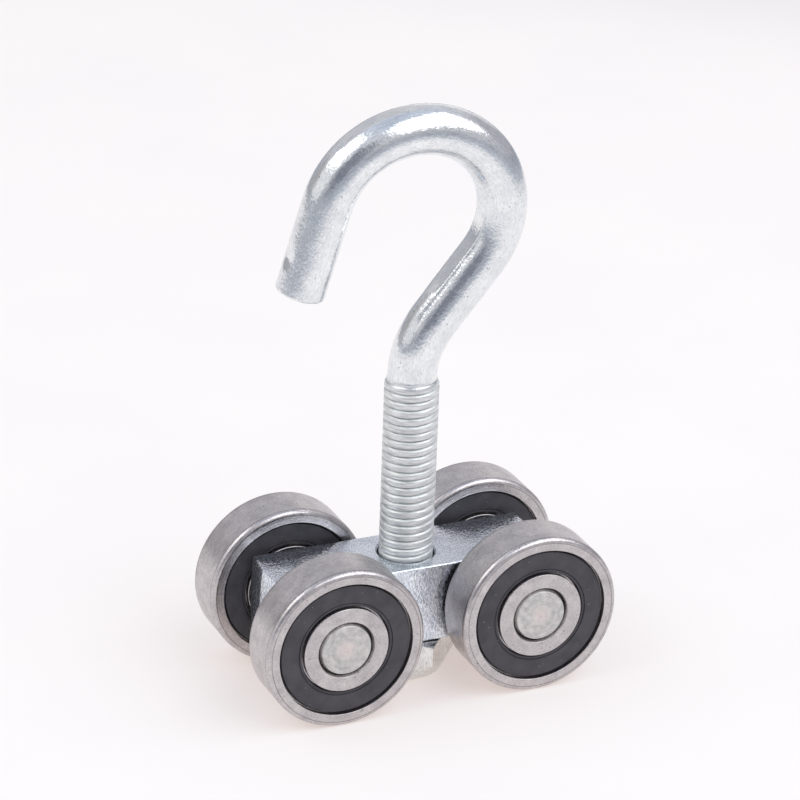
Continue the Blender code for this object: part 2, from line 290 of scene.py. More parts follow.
# The sheared end rises to an upright ridge, and swells at half height.
end_starts = bar_left + 2 * bar_edge_radius
across_lines = [ridge_y + step * MM for step in (-8, -6, -4, -2, -0.12, 0, 0.12, 1.5, 3)]
height_lines = [bar_centre.z + step * 1.6 * MM for step in range(-4, 5)]
cuts = [(Vector((end_starts, 0, 0)), Vector((1, 0, 0)))]
cuts += [(Vector((0, line, 0)), Vector((0, 1, 0))) for line in across_lines]
cuts += [(Vector((0, 0, line)), Vector((0, 0, 1))) for line in height_lines]
for point, square_to in cuts:
    end_faces = [f for f in bar.faces if min(v.co.x for v in f.verts) < end_starts - hair]
    end_verts = {vert for face in end_faces for vert in face.verts}
    end_edges = {edge for face in end_faces for edge in face.edges}
    bmesh.ops.bisect_plane(
        bar, geom=[*end_verts, *end_edges, *end_faces], plane_co=point, plane_no=square_to
    )
for vert in bar.verts:
    if vert.co.x < end_starts - hair:
        edge_y = math.copysign(bar_size.y / 2, vert.co.y - ridge_y)
        across = (vert.co.y - ridge_y) / (edge_y - ridge_y)
        upwards = (vert.co.z - bar_centre.z) / (bar_size.z / 2)
        recess = across * (fall_behind_ridge if vert.co.y > ridge_y else 1)
        vert.co.x -= end_swelling * (1 - recess) + end_bulge * (1 - upwards**2)

# Satin bluish zinc whose coarse grain sparkles: the bar below it is duller than the bent rod.
body_zinc, _, _ = zinc_plating(
    "zinc_plated_bar",
    "#E9EEF5",
    "#D0D7E1",
    shine=(0.18, 0.32),
    speckle=(0.68, 1.24),
    grain_height=0.055,
)
body = add_piece("body_bar", bar, body_zinc)
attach(body, "root")
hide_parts("trolley_body")


# ---------------------------------------------------------------------------------------------
# Axles: two plain 10 mm pins of bright turned steel, pressed through the body and the inner
# rings. Each end is faced on a lathe: it is chamfered, with fine rings and a dimple in the middle.
# ---------------------------------------------------------------------------------------------
def turned(outline, steps=144):
    """Spins an outline of (radius, along the axle, corner rounding) once round the Y axis.

    An outline that starts on the axle's own line is open, and any other is closed.
    """
    bm = bmesh.new()
    corners = [bm.verts.new((0, along, radius)) for radius, along, _ in outline]
    ends = corners[1:] + ([] if outline[0][0] == 0 else corners[:1])
    for start, end in zip(corners, ends):
        bm.edges.new((start, end))
    for corner, (_, _, rounding) in zip(corners, outline):
        if rounding:
            bmesh.ops.bevel(
                bm,
                geom=[corner],
                offset=rounding,
                segments=5,
                profile=0.5,
                affect="VERTICES",
                material=-1,
            )
    bmesh.ops.spin(
        bm,
        geom=bm.verts[:] + bm.edges[:],
        cent=(0, 0, 0),
        axis=(0, 1, 0),
        angle=math.tau,
        steps=steps,
        use_merge=True,
    )
    return bm


def turning_marks(tree, width):
    """Rings round the nearest axle, width apart and broken every 8 mm.

    With them come the distance from the axle, the same plus the distance from the wheel's middle
    plane, and the place. The four wheels lie evenly about the origin, so folding X and Y over
    serves them all.
    """
    wheel = axle_middle + Vector((0, 13 * MM, 0))
    break_length = 8 * MM
    place = add_node(tree, "TexCoord").outputs["Object"]
    folded = add_node(tree, "VectorMath", {0: place}, operation="ABSOLUTE")
    centred = add_node(tree, "VectorMath", {0: folded, 1: wheel}, operation="SUBTRACT")
    flattened = add_node(tree, "VectorMath", {0: centred, 1: (1, 0, 1)}, operation="MULTIPLY")
    radius = add_node(tree, "VectorMath", {0: flattened}, operation="LENGTH").outputs["Value"]
    parts = add_node(tree, "SeparateXYZ", {"Vector": centred})
    along = add_node(tree, "Math", {0: parts.outputs["Y"]}, operation="ABSOLUTE")
    outwards = add_node(tree, "Math", {0: radius, 1: along}, operation="ADD")
    ringed = add_node(
        tree,
        "CombineXYZ",
        {"X": parts.outputs["X"], "Y": outwards, "Z": parts.outputs["Z"]},
    )
    stretched = add_node(
        tree,
        "VectorMath",
        {0: ringed, 1: (1 / break_length, 1 / width, 1 / break_length)},
        operation="MULTIPLY",
    )
    rings = add_node(tree, "TexNoise", {"Vector": stretched, "Scale": 1.0, "Detail": 3.0})
    return rings, radius, outwards, place


# Turned steel, lightly oiled: the tool's feed, about 0.1 mm, is drawn at 0.22 mm to show.
axle_steel, tree, shader = start_material("turned_steel", roughness=0.3)
rings, radius, _, place = turning_marks(tree, 0.22 * MM)
blotches = add_node(tree, "TexNoise", {"Vector": place, "Scale": 1 / (1.1 * MM), "Detail": 6.0})
streaked = add_node(tree, "Math", {0: rings, 1: 0.6, 2: blotches}, operation="MULTIPLY_ADD")
tone = add_node(
    tree,
    "ValToRGB",
    {"Fac": streaked},
    stops=[(0.55, "#ADADAC"), (0.8, "#C3C2C1"), (1.0, "#D6D3D1")],
)
# The dimple and the metal round it are brighter, and a little pink.
near_middle = add_node(
    tree,
    "MapRange",
    {"Value": radius, "From Min": 0.2 * MM, "From Max": 2.4 * MM, "To Min": 0.7, "To Max": 0.0},
)
tone = add_node(
    tree, "Mix", {"Factor": near_middle, "A": tone, "B": linear("#E3D6D2")}, data_type="RGBA"
).outputs[2]
tree.links.new(tone, shader.inputs["Base Color"])
roughness = add_node(
    tree,
    "MapRange",
    {"Value": rings, "From Min": 0.3, "From Max": 0.7, "To Min": 0.24, "To Max": 0.42},
)
tree.links.new(roughness.outputs[0], shader.inputs["Roughness"])
height = add_node(tree, "Math", {0: blotches, 1: 0.012}, operation="MULTIPLY")
height = add_node(tree, "Math", {0: rings, 1: 0.03, 2: height}, operation="MULTIPLY_ADD")
bump = add_node(tree, "Bump", {"Height": height, "Distance": 1 * MM, "Strength": 1.0})
tree.links.new(bump.outputs[0], shader.inputs["Normal"])

axle_reach = axle_high.y
axle_chamfer = 0.38 * MM
# The end's outline, from the bottom of the dimple: (radius, along the axle, rounding)
axle_end = [
    (0, axle_reach - 0.16 * MM, 0),
    (0.25 * MM, axle_reach - 0.14 * MM, 0),
    (0.55 * MM, axle_reach - 0.02 * MM, 0),
    (0.8 * MM, axle_reach, 0),
    (axle_radius - axle_chamfer, axle_reach, 0.06 * MM),
    (axle_radius, axle_reach - 2 * axle_chamfer, 0.06 * MM),
]
for name, side in (("axle_left", -1), ("axle_right", 1)):
    other_end = [(radius, -along, rounding) for radius, along, rounding in reversed(axle_end)]
    pin = turned(axle_end + other_end, steps=BORE_SIDES)
    bmesh.ops.translate(pin, vec=(side * axle_middle.x, 0, axle_middle.z), verts=pin.verts)
    axle = add_piece(name + "_pin", pin, axle_steel)
    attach(axle, "root")
    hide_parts(name)


# ---------------------------------------------------------------------------------------------
# Bearing rings: hardened chrome steel, with rounded corners. Bores, faces and treads are ground.
# The outer ring is the wheel, and runs on the rail. The inner ring is pressed on the axle.
# ---------------------------------------------------------------------------------------------
# Ground chrome steel: a satin grey, faintly smudged and gritty, with a few dark specks. Its
# grinding scratches of about 0.02 mm are drawn at 0.16 mm to show.
ring_steel, tree, shader = start_material("ground_bearing_steel", roughness=0.33)
rings, radius, outwards, place = turning_marks(tree, 0.16 * MM)
smudges = add_node(
    tree, "TexNoise", {"Vector": place, "Scale": 1 / (2.6 * MM), "Detail": 8.0, "Roughness": 0.7}
)
tone = add_node(
    tree,
    "ValToRGB",
    {"Fac": smudges},
    stops=[(0.3, "#B8B3B5"), (0.5, "#CBC6C7"), (0.7, "#DCD7D6")],
)
tread_radius = 15 * MM
bore_radius = 5 * MM
ring_half_width = 4.5 * MM
ring_corner = 0.9 * MM
chamfer_starts = tread_radius + ring_half_width - ring_corner
# Thin dark lines are painted along both edges of each rounded corner.
off_line = add_node(tree, "Math", {0: outwards, 1: chamfer_starts}, operation="SUBTRACT")
off_line = add_node(tree, "Math", {0: off_line}, operation="ABSOLUTE")
at_line = add_node(
    tree,
    "MapRange",
    {
        "Value": off_line,
        "From Min": 0.04 * MM,
        "From Max": 0.1 * MM,
        "To Min": 0.6,
        "To Max": 0.0,
    },
)
corner_lined = add_node(
    tree, "Mix", {"Factor": at_line, "A": tone, "B": linear("#6A6360")}, data_type="RGBA"
).outputs[2]
specks = add_node(
    tree, "TexVoronoi", {"Vector": place, "Scale": 1 / (1.7 * MM), "Randomness": 1.0}
)
speck_size = add_node(tree, "Math", {0: specks.outputs["Color"], 1: 0.09}, operation="MULTIPLY")
off_speck = add_node(
    tree, "Math", {0: specks.outputs["Distance"], 1: speck_size}, operation="SUBTRACT"
)
speckled = add_node(
    tree, "MapRange", {"Value": off_speck, "From Min": 0, "From Max": 0.04, "To Min": 0.5}
)
grit = add_node(tree, "TexNoise", {"Vector": place, "Scale": 1 / (0.35 * MM), "Detail": 2.0})
gritty = add_node(
    tree, "MapRange", {"Value": grit, "From Min": 0.3, "From Max": 0.7, "To Min": 0.78}
)
dark = add_node(tree, "Math", {0: speckled, 1: gritty}, operation="MULTIPLY")
colour = add_node(
    tree,
    "Mix",
    {"Factor": 1.0, "A": corner_lined, "B": dark},
    data_type="RGBA",
    blend_type="MULTIPLY",
).outputs[2]
tree.links.new(colour, shader.inputs["Base Color"])
roughness = add_node(
    tree,
    "MapRange",
    {"Value": rings, "From Min": 0.3, "From Max": 0.7, "To Min": 0.24, "To Max": 0.38},
)
tree.links.new(roughness.outputs[0], shader.inputs["Roughness"])
height = add_node(tree, "Math", {0: grit, 1: 0.03}, operation="MULTIPLY")
height = add_node(tree, "Math", {0: rings, 1: 0.02, 2: height}, operation="MULTIPLY_ADD")
bump = add_node(tree, "Bump", {"Height": height, "Distance": 1 * MM, "Strength": 1.0})
tree.links.new(bump.outputs[0], shader.inputs["Normal"])

# Each wheel, and which way along Y its outer face looks
WHEELS = {"front_left": -1, "front_right": -1, "back_left": 1, "back_right": 1}
bearing_pitch_radius = 10 * MM
groove_radius = 2.58 * MM
outer_land = 11.88 * MM
inner_land = 8.5 * MM
seal_seat_radius = 12.64 * MM
inner_ring_radius = 8.0 * MM
land_half_width = 3.2 * MM


def ball_groove(land_radius, points=15):
    """The ball track's section, from the land on the far side to the land on the near side."""
    reach = math.acos(abs(land_radius - bearing_pitch_radius) / groove_radius)
    depth = math.copysign(groove_radius, land_radius - bearing_pitch_radius)
    angles = [reach - 2 * reach * point / (points - 1) for point in range(points)]
    return [
        (bearing_pitch_radius + depth * math.cos(angle), groove_radius * math.sin(angle), 0)
        for angle in angles
    ]


outer_ring_outline = [
    (tread_radius, -ring_half_width, ring_corner),
    (tread_radius, ring_half_width, ring_corner),
    (seal_seat_radius, ring_half_width, 0.12 * MM),
    (seal_seat_radius, land_half_width, 0),
    (outer_land, land_half_width, 0),
    *ball_groove(outer_land),
    (outer_land, -land_half_width, 0),
    (seal_seat_radius, -land_half_width, 0),
    (seal_seat_radius, -ring_half_width, 0.12 * MM),
]
bore_corner = 0.38 * MM
inner_ring_outline = [
    (bore_radius + bore_corner, -ring_half_width, 0.06 * MM),
    (bore_radius, -ring_half_width + 2 * bore_corner, 0),
    (bore_radius, ring_half_width - 2 * bore_corner, 0),
    (bore_radius + bore_corner, ring_half_width, 0.06 * MM),
    (inner_ring_radius, ring_half_width, 0.15 * MM),
    (inner_ring_radius, land_half_width, 0),
    (inner_land, land_half_width, 0),
    *ball_groove(inner_land),
    (inner_land, -land_half_width, 0),
    (inner_ring_radius, -land_half_width, 0),
    (inner_ring_radius, -ring_half_width, 0.15 * MM),
]
wheel_centres = {}
for name in WHEELS:
    low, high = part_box(name + "_outer_ring")
    wheel_centres[name] = (low + high) / 2
    for ring, outline, moves_with in (
        ("outer_ring", outer_ring_outline, name + "_wheel"),
        ("inner_ring", inner_ring_outline, "root"),
    ):
        turned_ring = turned(outline)
        bmesh.ops.translate(turned_ring, vec=wheel_centres[name], verts=turned_ring.verts)
        piece = add_piece(f"{name}_{ring}_ground", turned_ring, ring_steel)
        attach(piece, moves_with)
        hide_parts(f"{name}_{ring}")


# ---------------------------------------------------------------------------------------------
# Seals: black nitrile rubber moulded on a thin steel washer, and snapped into a groove of the
# outer ring. A moulded step runs round the lip that rubs on the inner ring.
# ---------------------------------------------------------------------------------------------
# Moulded nitrile rubber: a dull warm black, slightly bloomed, with a mote of dust here and there.
seal_rubber, tree, shader = start_material("nitrile_rubber", roughness=0.55, metallic=0.0)
place = add_node(tree, "TexCoord").outputs["Object"]
bloom = add_node(tree, "TexNoise", {"Vector": place, "Scale": 1 / (3 * MM), "Detail": 4.0})
tone = add_node(tree, "ValToRGB", {"Fac": bloom}, stops=[(0.35, "#37353A"), (0.65, "#444247")])
dust = add_node(tree, "TexVoronoi", {"Vector": place, "Scale": 1 / (1.3 * MM), "Randomness": 1.0})
dusty = add_node(
    tree,
    "MapRange",
    {
        "Value": dust.outputs["Distance"],
        "From Min": 0.05,
        "From Max": 0.1,
        "To Min": 1.0,
        "To Max": 0.0,
    },
)
rare = add_node(
    tree, "MapRange", {"Value": dust.outputs["Color"], "From Min": 0.62, "From Max": 0.95}
)
dust_share = add_node(tree, "Math", {0: dusty, 1: rare}, operation="MULTIPLY")
colour = add_node(
    tree, "Mix", {"Factor": dust_share, "A": tone, "B": linear("#A09FA0")}, data_type="RGBA"
)
tree.links.new(colour.outputs[2], shader.inputs["Base Color"])
skin = add_node(tree, "TexNoise", {"Vector": place, "Scale": 1 / (0.35 * MM), "Detail": 3.0})
roughness = add_node(
    tree,
    "MapRange",
    {"Value": skin, "From Min": 0.3, "From Max": 0.7, "To Min": 0.48, "To Max": 0.62},
)
tree.links.new(roughness.outputs[0], shader.inputs["Roughness"])
height = add_node(tree, "Math", {0: skin, 1: 0.012}, operation="MULTIPLY")
bump = add_node(tree, "Bump", {"Height": height, "Distance": 1 * MM, "Strength": 1.0})
tree.links.new(bump.outputs[0], shader.inputs["Normal"])

seal_face = 4.1 * MM
seal_back = 3.3 * MM
# From the lip in the outer ring's groove to the lip on the inner ring
seal_outline = [
    (12.52 * MM, seal_back, 0),
    (12.52 * MM, seal_back + 0.08 * MM, 0),
    (12.3 * MM, seal_back + 0.1 * MM, 0),
    (12.2 * MM, seal_face, 0.08 * MM),
    (9.0 * MM, seal_face, 0.04 * MM),
    (8.92 * MM, seal_face - 0.2 * MM, 0),
    (8.8 * MM, seal_face - 0.2 * MM, 0),
    (8.72 * MM, seal_face - 0.04 * MM, 0.04 * MM),
    (8.4 * MM, seal_face - 0.04 * MM, 0.08 * MM),
    (8.22 * MM, seal_back + 0.2 * MM, 0.08 * MM),
    (8.22 * MM, seal_back, 0),
]
for name, outwards in WHEELS.items():
    for seal, facing in (("outer_seal", outwards), ("inner_seal", -outwards)):
        faced = [(radius, facing * along, rounding) for radius, along, rounding in seal_outline]
        moulded = turned(faced)
        bmesh.ops.translate(moulded, vec=wheel_centres[name], verts=moulded.verts)
        piece = add_piece(f"{name}_{seal}_moulded", moulded, seal_rubber)
        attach(piece, name + "_wheel")
        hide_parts(f"{name}_{seal}")


# ---------------------------------------------------------------------------------------------
# Balls and cages: polished chrome-steel balls, held apart by a cage of two pressed steel ribbons
# that hug the balls and are riveted between them. Both are hidden behind the seals.
# ---------------------------------------------------------------------------------------------
# Ball steel is lapped: nearly a mirror, with a faint film of grease.
ball_steel, tree, shader = start_material("lapped_ball_steel", roughness=0.08)
place = add_node(tree, "TexCoord").outputs["Object"]
grease = add_node(tree, "TexNoise", {"Vector": place, "Scale": 1 / (2 * MM), "Detail": 3.0})
tone = add_node(tree, "ValToRGB", {"Fac": grease}, stops=[(0.35, "#BDBBB4"), (0.65, "#D0D0D0")])
tree.links.new(tone.outputs[0], shader.inputs["Base Color"])
roughness = add_node(tree, "MapRange", {"Value": grease, "To Min": 0.04, "To Max": 0.16})
tree.links.new(roughness.outputs[0], shader.inputs["Roughness"])

# Pressed low-carbon steel strip: dull, with a slightly orange-peel surface.
cage_steel, tree, shader = start_material("pressed_steel", roughness=0.4)
place = add_node(tree, "TexCoord").outputs["Object"]
peel = add_node(tree, "TexNoise", {"Vector": place, "Scale": 1 / (0.5 * MM), "Detail": 3.0})
tone = add_node(tree, "ValToRGB", {"Fac": peel}, stops=[(0.3, "#8F8B86"), (0.7, "#A9A6A2")])
tree.links.new(tone.outputs[0], shader.inputs["Base Color"])
height = add_node(tree, "Math", {0: peel, 1: 0.015}, operation="MULTIPLY")
bump = add_node(tree, "Bump", {"Height": height, "Distance": 1 * MM, "Strength": 1.0})
tree.links.new(bump.outputs[0], shader.inputs["Normal"])

BALLS_PER_BEARING = 8
ball_radius = 2.381 * MM
strip_thickness = 0.25 * MM
strip_middle = 0.2 * MM
cage_half_height = 1.0 * MM
pocket_radius = ball_radius + 0.1 * MM
rivet_radius = 0.4 * MM
rivet_length = 1.2 * MM
for name in WHEELS:
    ribbons = bmesh.new()
    for side in (-1, 1):
        strip = [
            ribbons.verts.new((0, side * strip_middle, bearing_pitch_radius + up * cage_half_height))
            for up in (-1, -0.5, 0, 0.5, 1)
        ]
        strip_edges = [ribbons.edges.new(pair) for pair in zip(strip, strip[1:])]
        bmesh.ops.spin(
            ribbons,
            geom=strip + strip_edges,
            cent=(0, 0, 0),
            axis=(0, 1, 0),
            angle=math.tau,
            steps=192,
            use_merge=True,
        )
    for vert in ribbons.verts:
        side = math.copysign(1, vert.co.y)
        for number in range(BALLS_PER_BEARING):
            angle = math.tau * number / BALLS_PER_BEARING
            pocket = Vector((math.sin(angle), 0, math.cos(angle))) * bearing_pitch_radius
            gap = (Vector((vert.co.x, 0, vert.co.z)) - pocket).length
            if gap < pocket_radius:
                hug = math.sqrt(pocket_radius**2 - gap**2) + strip_middle
                vert.co.y = side * max(abs(vert.co.y), hug)
    bmesh.ops.recalc_face_normals(ribbons, faces=ribbons.faces)
    for number in range(BALLS_PER_BEARING):
        angle = math.tau * (number + 0.5) / BALLS_PER_BEARING
        turn = Matrix.Rotation(angle, 4, "Y")
        bmesh.ops.create_cone(
            ribbons,
            cap_ends=True,
            segments=16,
            radius1=rivet_radius,
            radius2=rivet_radius,
            depth=rivet_length,
            matrix=turn
            @ Matrix.Translation((0, 0, bearing_pitch_radius))
            @ Matrix.Rotation(math.pi / 2, 4, "X"),
        )
    bmesh.ops.translate(ribbons, vec=wheel_centres[name], verts=ribbons.verts)
    cage = add_piece(name + "_cage_ribbons", ribbons, cage_steel, even_shading=False)
    sheet = cage.modifiers.new("strip", "SOLIDIFY")
    sheet.thickness = strip_thickness
    sheet.offset = 0
    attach(cage, name + "_cage")
    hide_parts(name + "_cage")
    for number in range(BALLS_PER_BEARING):
        low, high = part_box(f"{name}_ball_{number + 1}")
        sphere = bmesh.new()
        bmesh.ops.create_icosphere(
            sphere,
            subdivisions=4,
            radius=ball_radius,
            matrix=Matrix.Translation((low + high) / 2),
        )
        ball = add_piece(f"{name}_lapped_ball_{number + 1}", sphere, ball_steel, even_shading=False)
        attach(ball, name + "_cage")
        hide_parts(f"{name}_ball_{number + 1}")


# ---------------------------------------------------------------------------------------------
# Hook: one length of mild steel rod. The M10 thread is rolled on first, which raises its crests
# above the rod. Then the rod is bent cold round two formers, sheared off and zinc plated.
# ---------------------------------------------------------------------------------------------
hook_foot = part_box("hook")[0].z
thread_pitch = 1.5 * MM
crest_radius = 4.88 * MM
root_radius = 4.5 * MM
rod_radius = 4.4 * MM
foot_radius = 3.9 * MM
thread_top = 57.6 * MM
thread_run_out = 1.8 * MM
neck_start = 57.7 * MM
neck_radius = 17.7 * MM
neck_angle = math.radians(35.9)
neck_straight = 13.6 * MM
bowl_radius = 16.4 * MM
bowl_angle = math.radians(-201.8)
tip_straight = 16.9 * MM
tip_rounding = 0.35 * MM
hook_yaw = math.radians(-3.3)
hook_lean = math.radians(-4.8)
lean_starts_over = 6 * MM
ROD_SIDES = 72
ring_spacing = 0.5 * MM
# A thread's section as (share of the pitch, share of the depth): round root, flank, flat crest
THREAD_FORM = ((0, 0), (0.05, 0.12), (0.16, 0.8), (0.25, 1), (0.75, 1), (0.84, 0.8), (0.95, 0.12))


def smooth_step(share):
    """Eases from 0 to 1."""
    share = min(max(share, 0), 1)
    return share * share * (3 - 2 * share)


rod = bmesh.new()
unbent = rod.verts.layers.float_vector.new("rod")  # where the metal lay before bending
section = []
for turn in range(-1, math.ceil((thread_top - hook_foot) / thread_pitch) + 1):
    for share, depth in THREAD_FORM:
        reach = root_radius + (crest_radius - root_radius) * depth
        section.append(rod.verts.new((reach, 0, hook_foot + (turn + share) * thread_pitch)))
for lower, upper in zip(section, section[1:]):
    rod.edges.new((lower, upper))
bmesh.ops.spin(
    rod,
    geom=rod.verts[:] + rod.edges[:],
    cent=(0, 0, 0),
    axis=(0, 0, 1),
    dvec=(0, 0, thread_pitch / ROD_SIDES),
    angle=math.tau,
    steps=ROD_SIDES,
)
bmesh.ops.remove_doubles(rod, verts=rod.verts, dist=WELD)
for vert in rod.verts:
    height = min(max(vert.co.z, hook_foot), thread_top)
    fade = smooth_step((height - thread_top + thread_run_out) / thread_run_out)
    reach = vert.co.xy.length
    reach = min(reach + (rod_radius - reach) * fade, foot_radius + height - hook_foot)
    vert.co = (*(vert.co.xy.normalized() * reach), height)
bmesh.ops.remove_doubles(rod, verts=rod.verts, dist=WELD)
for vert in rod.verts:
    vert[unbent] = vert.co


def open_rim(height):
    """The edges round the rod's open end at that height."""
    return [
        edge
        for edge in rod.edges
        if edge.is_boundary and all(abs(vert.co.z - height) < WELD for vert in edge.verts)
    ]


def draw_on(rim, length, step, steps):
    """Draws the rod's open end on in equal steps, and notes where the metal lay before bending."""
    for _ in range(steps):
        drawn = bmesh.ops.extrude_edge_only(rod, edges=rim)["geom"]
        rim = [part for part in drawn if isinstance(part, bmesh.types.BMEdge)]
        verts = [part for part in drawn if isinstance(part, bmesh.types.BMVert)]
        bmesh.ops.transform(rod, matrix=step, verts=verts)
        for vert in verts:
            vert[unbent].z += length / steps
    return rim


bmesh.ops.edgeloop_fill(rod, edges=open_rim(hook_foot))
rim = open_rim(thread_top)
end = Vector((0, 0, thread_top))
heading = 0
rod_length = thread_top
for straight, bend_radius, bend_angle in (
    (neck_start - thread_top, neck_radius, neck_angle),
    (neck_straight, bowl_radius, bowl_angle),
    (tip_straight, 0, 0),
):
    forward = Vector((math.sin(heading), 0, math.cos(heading)))
    steps = math.ceil(straight / ring_spacing)
    rim = draw_on(rim, straight, Matrix.Translation(forward * straight / steps), steps)
    end += forward * straight
    rod_length += straight
    if not bend_angle:
        continue
    sideways = Vector((math.cos(heading), 0, -math.sin(heading)))
    former = end + sideways * math.copysign(bend_radius, bend_angle)
    arc = abs(bend_angle) * bend_radius
    steps = math.ceil(arc / ring_spacing)
    there = Matrix.Translation(former)
    step = there @ Matrix.Rotation(bend_angle / steps, 4, "Y") @ there.inverted()
    rim = draw_on(rim, arc, step, steps)
    end = there @ Matrix.Rotation(bend_angle, 4, "Y") @ there.inverted() @ end
    heading += bend_angle
    rod_length += arc
bmesh.ops.edgeloop_fill(rod, edges=rim)
bmesh.ops.bevel(
    rod, geom=rim, offset=tip_rounding, segments=4, profile=0.5, affect="EDGES", material=-1
)


def press(vert, towards, depth):
    """Pushes a point of the rod in by so much, in a direction given across the unbent rod."""
    turned_by = bend_at(vert[unbent].z)
    outwards = Vector((math.cos(turned_by), 0, -math.sin(turned_by))) * math.cos(towards)
    outwards += Vector((0, 1, 0)) * math.sin(towards)
    vert.co -= outwards * depth


def bend_at(length):
    """How far the rod has turned over by the time so much of it has been bent."""
    bowl_start = neck_start + neck_angle * neck_radius + neck_straight
    neck = min(max((length - neck_start) / neck_radius, 0), neck_angle)
    return neck + max(min((bowl_start - length) / bowl_radius, 0), bowl_angle)


# The formers left a flat inside the neck and one outside the bowl, and the jaw left a dent by
# the tip. Each flat is (millimetres from, to along the rod, direction and width in degrees).
flat_fade = 3
for start, finish, towards, width in ((72, 93, 174, 54), (117, 132, 8, 46)):
    towards = math.radians(towards)
    flat_height = rod_radius * math.cos(math.radians(width / 2))
    for vert in rod.verts:
        length = vert[unbent].z / MM
        share = smooth_step((length - start) / flat_fade)
        share *= smooth_step((finish - length) / flat_fade)
        rise = vert[unbent].x * math.cos(towards) + vert[unbent].y * math.sin(towards)
        if share and rise > flat_height:
            press(vert, towards, (rise - flat_height) * share)
dent_from_tip = 6.2 * MM
dent_turn = math.radians(-2)
dent_depth = 0.45 * MM
dent_reach = 1.3 * MM
dent_middle = Vector((math.cos(dent_turn), math.sin(dent_turn), 0)) * rod_radius
dent_middle.z = rod_length - dent_from_tip
for vert in rod.verts:
    gap = (vert[unbent] - dent_middle).length / dent_reach
    if gap < 4:
        press(vert, dent_turn, dent_depth * math.exp(-(gap**2)))

# The whole bend leans over to the front, and is turned a little about the shank.
for vert in rod.verts:
    above = max(0, vert.co.z - neck_start)
    lean = hook_lean * smooth_step(above / lean_starts_over)
    if above:
        vert.co = (
            vert.co.x,
            vert.co.y * math.cos(lean) + above * math.sin(lean),
            neck_start + above * math.cos(lean) - vert.co.y * math.sin(lean),
        )
bmesh.ops.rotate(rod, cent=(0, 0, 0), matrix=Matrix.Rotation(hook_yaw, 3, "Z"), verts=rod.verts)

# Bright zinc over cold-drawn rod: fine lines run along it, and the reflections are crisp.
hook_zinc, tree, shader = zinc_plating(
    "zinc_plated_rod",
    "#F0F2F3",
    "#DFE3E6",
    shine=(0.1, 0.22),
    speckle=(0.89, 1.06),
    grain_height=0.034,
    line_height=0.014,
    rod_attribute="rod",
)
# Zinc over the rolled thread is duller and paler, and its roots are painted grey as shade.
place = add_node(tree, "Attribute", attribute_name="rod").outputs["Vector"]
parts = add_node(tree, "SeparateXYZ", {"Vector": place})
on_thread = add_node(
    tree,
    "MapRange",
    {
        "Value": parts.outputs["Z"],
        "From Min": thread_top - thread_run_out,
        "From Max": thread_top,
        "To Min": 1.0,
        "To Max": 0.0,
    },
)
flattened = add_node(tree, "VectorMath", {0: place, 1: (1, 1, 0)}, operation="MULTIPLY")
from_axis = add_node(tree, "VectorMath", {0: flattened}, operation="LENGTH").outputs["Value"]
above_root = add_node(
    tree, "MapRange", {"Value": from_axis, "From Min": root_radius, "From Max": crest_radius}
)
# Painted shade: the thread's colour darkens from the crests down into the roots.
thread_tone_and_root_shade = add_node(
    tree,
    "ValToRGB",
    {"Fac": above_root},
    stops=[(0.0, "#C2C6C5"), (0.3, "#E4E8E7"), (1.0, "#EFF1F0")],
)
# Rolling leaves fine scratches round the thread, drawn at 0.2 mm to show.
scratch_place = add_node(
    tree,
    "Mapping",
    {"Vector": place, "Scale": (1 / (2.5 * MM), 1 / (2.5 * MM), 1 / (0.2 * MM))},
)
scratches = add_node(tree, "TexNoise", {"Vector": scratch_place, "Scale": 1.0, "Detail": 4.0})
scratched = add_node(
    tree, "MapRange", {"Value": scratches, "From Min": 0.3, "From Max": 0.6, "To Min": 0.66}
)
thread_tone_and_root_shade = add_node(
    tree,
    "Mix",
    {"Factor": 1.0, "A": thread_tone_and_root_shade, "B": scratched},
    data_type="RGBA",
    blend_type="MULTIPLY",
).outputs[2]
plain = shader.inputs["Base Color"].links[0].from_socket
colour = add_node(
    tree, "Mix", {"Factor": on_thread, "A": plain, "B": thread_tone_and_root_shade}, data_type="RGBA"
)
tree.links.new(colour.outputs[2], shader.inputs["Base Color"])
plain = shader.inputs["Roughness"].links[0].from_socket
thread_roughness = 0.56
roughness = add_node(tree, "Mix", {"Factor": on_thread, "A": plain, "B": thread_roughness})
tree.links.new(roughness.outputs[0], shader.inputs["Roughness"])

hook = add_piece("hook_rod", rod, hook_zinc, sharp_from=50, even_shading=False)
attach(hook, "hook")
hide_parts("hook")


# ---------------------------------------------------------------------------------------------
# Lock nut: a hexagon nut, chamfered on top, with a domed collar rolled over a nylon ring that
# grips the thread. It is zinc plated, and it carries the body on the shank.
# ---------------------------------------------------------------------------------------------
nut_low, nut_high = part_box("lock_nut")
nut_flat = 8.0 * MM
nut_turn = math.radians(42)
nut_bore = 5.0 * MM
nut_hexagon_bottom = nut_high.z - 5.75 * MM
chamfer_slope = math.tan(math.radians(30))
hexagon_sixth = math.radians(60)
NUT_SIDES = 120


def hexagon_radius(angle):
    """How far out the hexagon lies in that direction."""
    off_flat = (angle - nut_turn) % hexagon_sixth - hexagon_sixth / 2
    return nut_flat / math.cos(off_flat)


nut = bmesh.new()
rim = edges_of(bmesh.ops.create_circle(nut, segments=NUT_SIDES, radius=1 * MM)["verts"])
